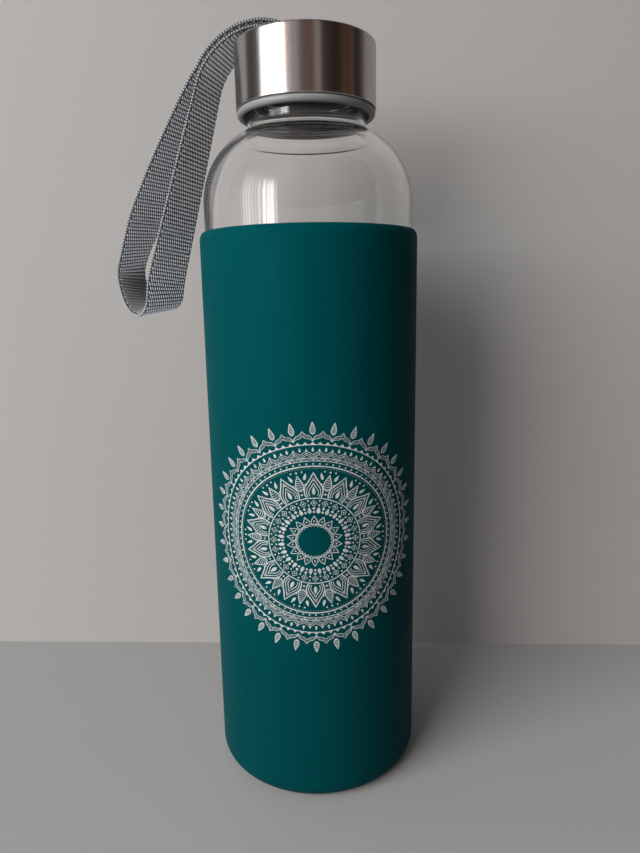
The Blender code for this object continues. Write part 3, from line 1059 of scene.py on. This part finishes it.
def make_floor():
    """A pale floor that fades away from the bottle and returns less light than it shows."""
    mat, tree, shader = new_material("pale_floor", {"Roughness": 0.5})
    pale = ramp(tree, noise(tree, 6, 2), ((0.3, (0.66, 0.655, 0.65)), (0.7, (0.69, 0.685, 0.68))))
    bounce = add(tree, "ShaderNodeLightPath").outputs["Is Diffuse Ray"]
    wire(tree, scaled(tree, pale, remap(tree, bounce, 1.0, 0.45)), shader, "Base Color")
    position = add(tree, "ShaderNodeNewGeometry").outputs["Position"]
    away = add(tree, "ShaderNodeVectorMath", {0: position}, operation="LENGTH").outputs["Value"]
    see_through(tree, shader, remap(tree, away, 0.0, 1.0, 0.35, 1.1))
    signs = ((-1, -1), (1, -1), (1, 1), (-1, 1))
    verts = [(x * FLOOR_HALF, y * FLOOR_HALF, FLOOR_Z) for x, y in signs]
    floor = new_mesh("floor", verts, [[0, 1, 2, 3]], mat)


def make_backdrop():
    """A plain pale wall behind, seen only from its front, and lit but not lighting. It holds
    painted light:
    a faint glow, painted shade towards its right, and painted brightening where seen through glass.

    Reflections see it darker, and only near the bottle. It is clear along its face and from behind.
    """
    # The faint emission is painted light: the wall glows a little, which lightens the bottle's
    # shadow on it.
    inputs = {"Roughness": 0.9, "Emission Strength": 0.035, "Emission Color": (1.0, 0.97, 0.96, 1)}
    mat, tree, shader = new_material("pale_backdrop", inputs)
    path = add(tree, "ShaderNodeLightPath").outputs
    geometry = add(tree, "ShaderNodeNewGeometry").outputs
    glossy, through = path["Is Glossy Ray"], path["Is Transmission Ray"]
    mirrored = maths(tree, "SUBTRACT", glossy, through, use_clamp=True)
    level = remap(tree, mirrored, 1.0, 0.68)
    # Painted light: seen through glass the wall is painted 16% brighter, lightening the view
    # through the bottle.
    level = maths(tree, "MULTIPLY", level, remap(tree, through, 1.0, 1.16))
    pale = ramp(tree, noise(tree, 3, 2), ((0.3, (0.52, 0.50, 0.495)), (0.7, (0.54, 0.52, 0.515))))
    x = add(tree, "ShaderNodeSeparateXYZ", {"Vector": geometry["Position"]}).outputs["X"]
    # Painted shade: the wall is painted lighter at its left and darker at its right, as the light
    # falls off away from the window.
    level = maths(tree, "MULTIPLY", level, remap(tree, x, 1.05, 0.86, -0.15, 0.2))
    wire(tree, scaled(tree, pale, level), shader, "Base Color")
    facing = add(tree, "ShaderNodeVectorMath", {0: geometry["Incoming"], 1: (0, -1, 0)},
                 operation="DOT_PRODUCT").outputs["Value"]
    oblique = remap(tree, facing, 1.0, 0.0, 0.1, 0.3)
    oblique = maths(tree, "MULTIPLY", oblique, path["Is Camera Ray"])
    near = add(tree, "ShaderNodeMath", {0: x, 1: -0.045, 2: 0.245}, operation="COMPARE")
    far = maths(tree, "SUBTRACT", mirrored, near.outputs["Value"], use_clamp=True)
    hidden = maths(tree, "MAXIMUM", oblique, far)
    see_through(tree, shader, maths(tree, "MAXIMUM", hidden, geometry["Backfacing"]))
    corners = ((-WALL_HALF, 0), (WALL_HALF, 0), (WALL_HALF, WALL_HIGH), (-WALL_HALF, WALL_HIGH))
    verts = [(x, WALL_Y + WALL_SLANT * x, z) for x, z in corners]
    wall = new_mesh("backdrop", verts, [[0, 1, 2, 3]], mat)
    if wall.data.polygons[0].normal.y > 0:
        wall.data.flip_normals()
    wall.visible_diffuse = wall.visible_shadow = False


# What polished metal and glass see round the object: degrees from straight ahead (left is
# negative) and colour. A pale wall, a dark doorway, then the window, then dim furniture.
ROOM = ((-180, (0.12, 0.10, 0.09)), (-152, (0.14, 0.11, 0.10)), (-142, (0.25, 0.20, 0.18)),
        (-112, (0.25, 0.21, 0.19)), (-106, (0.06, 0.055, 0.055)), (-88, (0.07, 0.07, 0.075)),
        (-31, (0.60, 0.40, 0.34)), (-27, (0.60, 0.42, 0.37)), (-24, (0.50, 0.46, 0.47)),
        (-17, (0.38, 0.34, 0.35)), (-10, (0.25, 0.22, 0.22)), (-4, (0.12, 0.095, 0.09)),
        (5, (0.14, 0.075, 0.068)), (10, (0.12, 0.070, 0.063)), (15, (0.19, 0.155, 0.135)),
        (18, (0.32, 0.275, 0.24)), (22, (0.28, 0.24, 0.21)),
        (26, (0.055, 0.040, 0.034)), (44, (0.022, 0.014, 0.011)), (56, (0.022, 0.013, 0.009)),
        (60, (0.075, 0.034, 0.020)), (77, (0.068, 0.032, 0.020)), (80, (0.12, 0.08, 0.065)),
        (83, (0.022, 0.017, 0.015)), (97, (0.022, 0.017, 0.015)), (104, (0.13, 0.10, 0.09)),
        (128, (0.19, 0.16, 0.15)), (180, (0.24, 0.21, 0.20)))
# How bright the window is in those directions. Its top edge slopes.
WINDOW = ((-76, 0.0), (-73, 5.0), (-52, 6.0), (-48, 16.0), (-34, 18.0), (-32, 0.0))
WINDOW_TOP = 0.55


def streaks(tree, place, scale, detail):
    inputs = {"W": place, "Scale": scale, "Detail": detail}
    return add(tree, "ShaderNodeTexNoise", inputs, noise_dimensions="1D").outputs["Fac"]


def mixed(tree, share, first, second):
    mix = add(tree, "ShaderNodeMixShader", {"Fac": share})
    tree.links.new(first.outputs[0], mix.inputs[1])
    tree.links.new(second.outputs[0], mix.inputs[2])
    return mix


def make_world():
    """Polished surfaces see the room, matte ones a soft gradient, and the camera a plain grey."""
    world = bpy.data.worlds.new("studio")
    bpy.context.scene.world = world
    world.use_nodes = True
    tree = world.node_tree
    tree.nodes.clear()
    ray = add(tree, "ShaderNodeTexCoord").outputs["Generated"]
    x, y, z = add(tree, "ShaderNodeSeparateXYZ", {"Vector": ray}).outputs
    azimuth = maths(tree, "ARCTAN2", x, maths(tree, "MULTIPLY", y, -1.0))
    place = remap(tree, azimuth, 0, 1, -math.pi, math.pi)
    room = ramp(tree, place, [((degrees + 180) / 360, colour) for degrees, colour in ROOM])
    high = remap(tree, z, 1.0, 0.45, 0.5, 0.9)
    low = remap(tree, z, 0.5, 1.0, -0.35, -0.05)
    level = maths(tree, "MULTIPLY", high, low)
    uneven = remap(tree, streaks(tree, place, 75.0, 3.0), 0.78, 1.22, 0.35, 0.65)
    dim = scaled(tree, room, maths(tree, "MULTIPLY", level, uneven))

    pane = ramp(tree, place, [((degrees + 180) / 360, (value,) * 3) for degrees, value in WINDOW])
    ruffle = remap(tree, streaks(tree, place, 120.0, 2.0), 0.3, 1.35, 0.38, 0.62)
    ruffle = maths(tree, "MULTIPLY", ruffle, remap(tree, z, 1.15, 0.65, 0.0, 0.4))
    height = maths(tree, "ADD", z, remap(tree, place, 0.0, 0.17, 0.28, 0.415))
    upper = remap(tree, height, 1.0, 0.0, WINDOW_TOP - 0.14, WINDOW_TOP + 0.05)
    lower = remap(tree, z, 0.0, 1.0, -0.12, -0.02)
    shape = maths(tree, "MULTIPLY", maths(tree, "MULTIPLY", upper, lower), ruffle)
    inputs = {0: scaled(tree, pane, shape), 1: dim}
    total = add(tree, "ShaderNodeVectorMath", inputs, operation="ADD").outputs["Vector"]

    mirror = add(tree, "ShaderNodeBackground", {"Color": total, "Strength": 1.0})
    soft = ramp(tree, remap(tree, x, 0, 1, -1, 1),
                ((0, (0.62, 0.62, 0.62)), (0.5, (0.26, 0.25, 0.25)), (1, (0.06, 0.055, 0.055))))
    ambient = add(tree, "ShaderNodeBackground", {"Color": soft, "Strength": 0.46})
    plain = add(tree, "ShaderNodeBackground", {"Color": (0.42, 0.40, 0.395, 1), "Strength": 1.0})
    path = add(tree, "ShaderNodeLightPath").outputs
    seen = maths(tree, "MAXIMUM", path["Is Camera Ray"], path["Is Transmission Ray"])
    result = mixed(tree, seen, mixed(tree, path["Is Glossy Ray"], ambient, mirror), plain)
    output = add(tree, "ShaderNodeOutputWorld")
    tree.links.new(result.outputs[0], output.inputs["Surface"])


def make_light(name, place, target, size, power, colour, only=None):
    """A square area light that is not seen itself. It may be kept to one object."""
    data = bpy.data.lights.new(name, "AREA")
    data.shape = "SQUARE"
    data.size = size
    data.energy = power
    data.color = colour
    light = bpy.data.objects.new(name, data)
    bpy.context.scene.collection.objects.link(light)
    light.location = place
    light.rotation_euler = (Vector(target) - Vector(place)).to_track_quat("-Z", "Y").to_euler()
    light.visible_glossy = light.visible_camera = light.visible_transmission = False
    if only is not None:
        lit = bpy.data.collections.new(name + "_receivers")
        lit.objects.link(only)
        light.light_linking.receiver_collection = lit


CAMERA_PLACE = (0, -0.212, 0.1566)
CAMERA_PITCH, CAMERA_YAW, CAMERA_ROLL = (math.radians(a) for a in (-11.5, 0.68, 0.99))
CAMERA_LENS = 27.69


def make_camera():
    """Low and close, looking a little down with a slight roll."""
    pitch, yaw, roll = CAMERA_PITCH, CAMERA_YAW, CAMERA_ROLL
    flat = math.cos(pitch)
    forward = Vector((math.sin(yaw) * flat, math.cos(yaw) * flat, math.sin(pitch)))
    right = Vector((math.cos(yaw), -math.sin(yaw), 0))
    up = right.cross(forward)
    across = right * math.cos(roll) - up * math.sin(roll)
    upward = right * math.sin(roll) + up * math.cos(roll)
    data = bpy.data.cameras.new("camera")
    data.lens = CAMERA_LENS
    data.sensor_width = 36.0
    data.clip_start = 0.01
    camera = bpy.data.objects.new("camera", data)
    bpy.context.scene.collection.objects.link(camera)
    turn = Matrix((across, upward, -forward)).transposed()
    camera.matrix_world = Matrix.Translation(CAMERA_PLACE) @ turn.to_4x4()
    bpy.context.scene.camera = camera


make_glass()
make_sleeve()
make_cap_shell()
make_cap_insert()
make_seal()
strap = make_strap()
make_print()
make_floor()
make_backdrop()
make_world()
make_light("window", (-1.216, -1.136, 0.76), (0, 0, 0.12), 1.28, 29.0, (1.0, 0.985, 0.96))
make_light("strap_glow", (-0.09, -0.12, 0.06), (-0.075, 0, 0.12), 0.06, 0.22, (0.97, 0.98, 1.0),
           strap)
make_camera()
bpy.context.scene.view_settings.view_transform = "Standard"
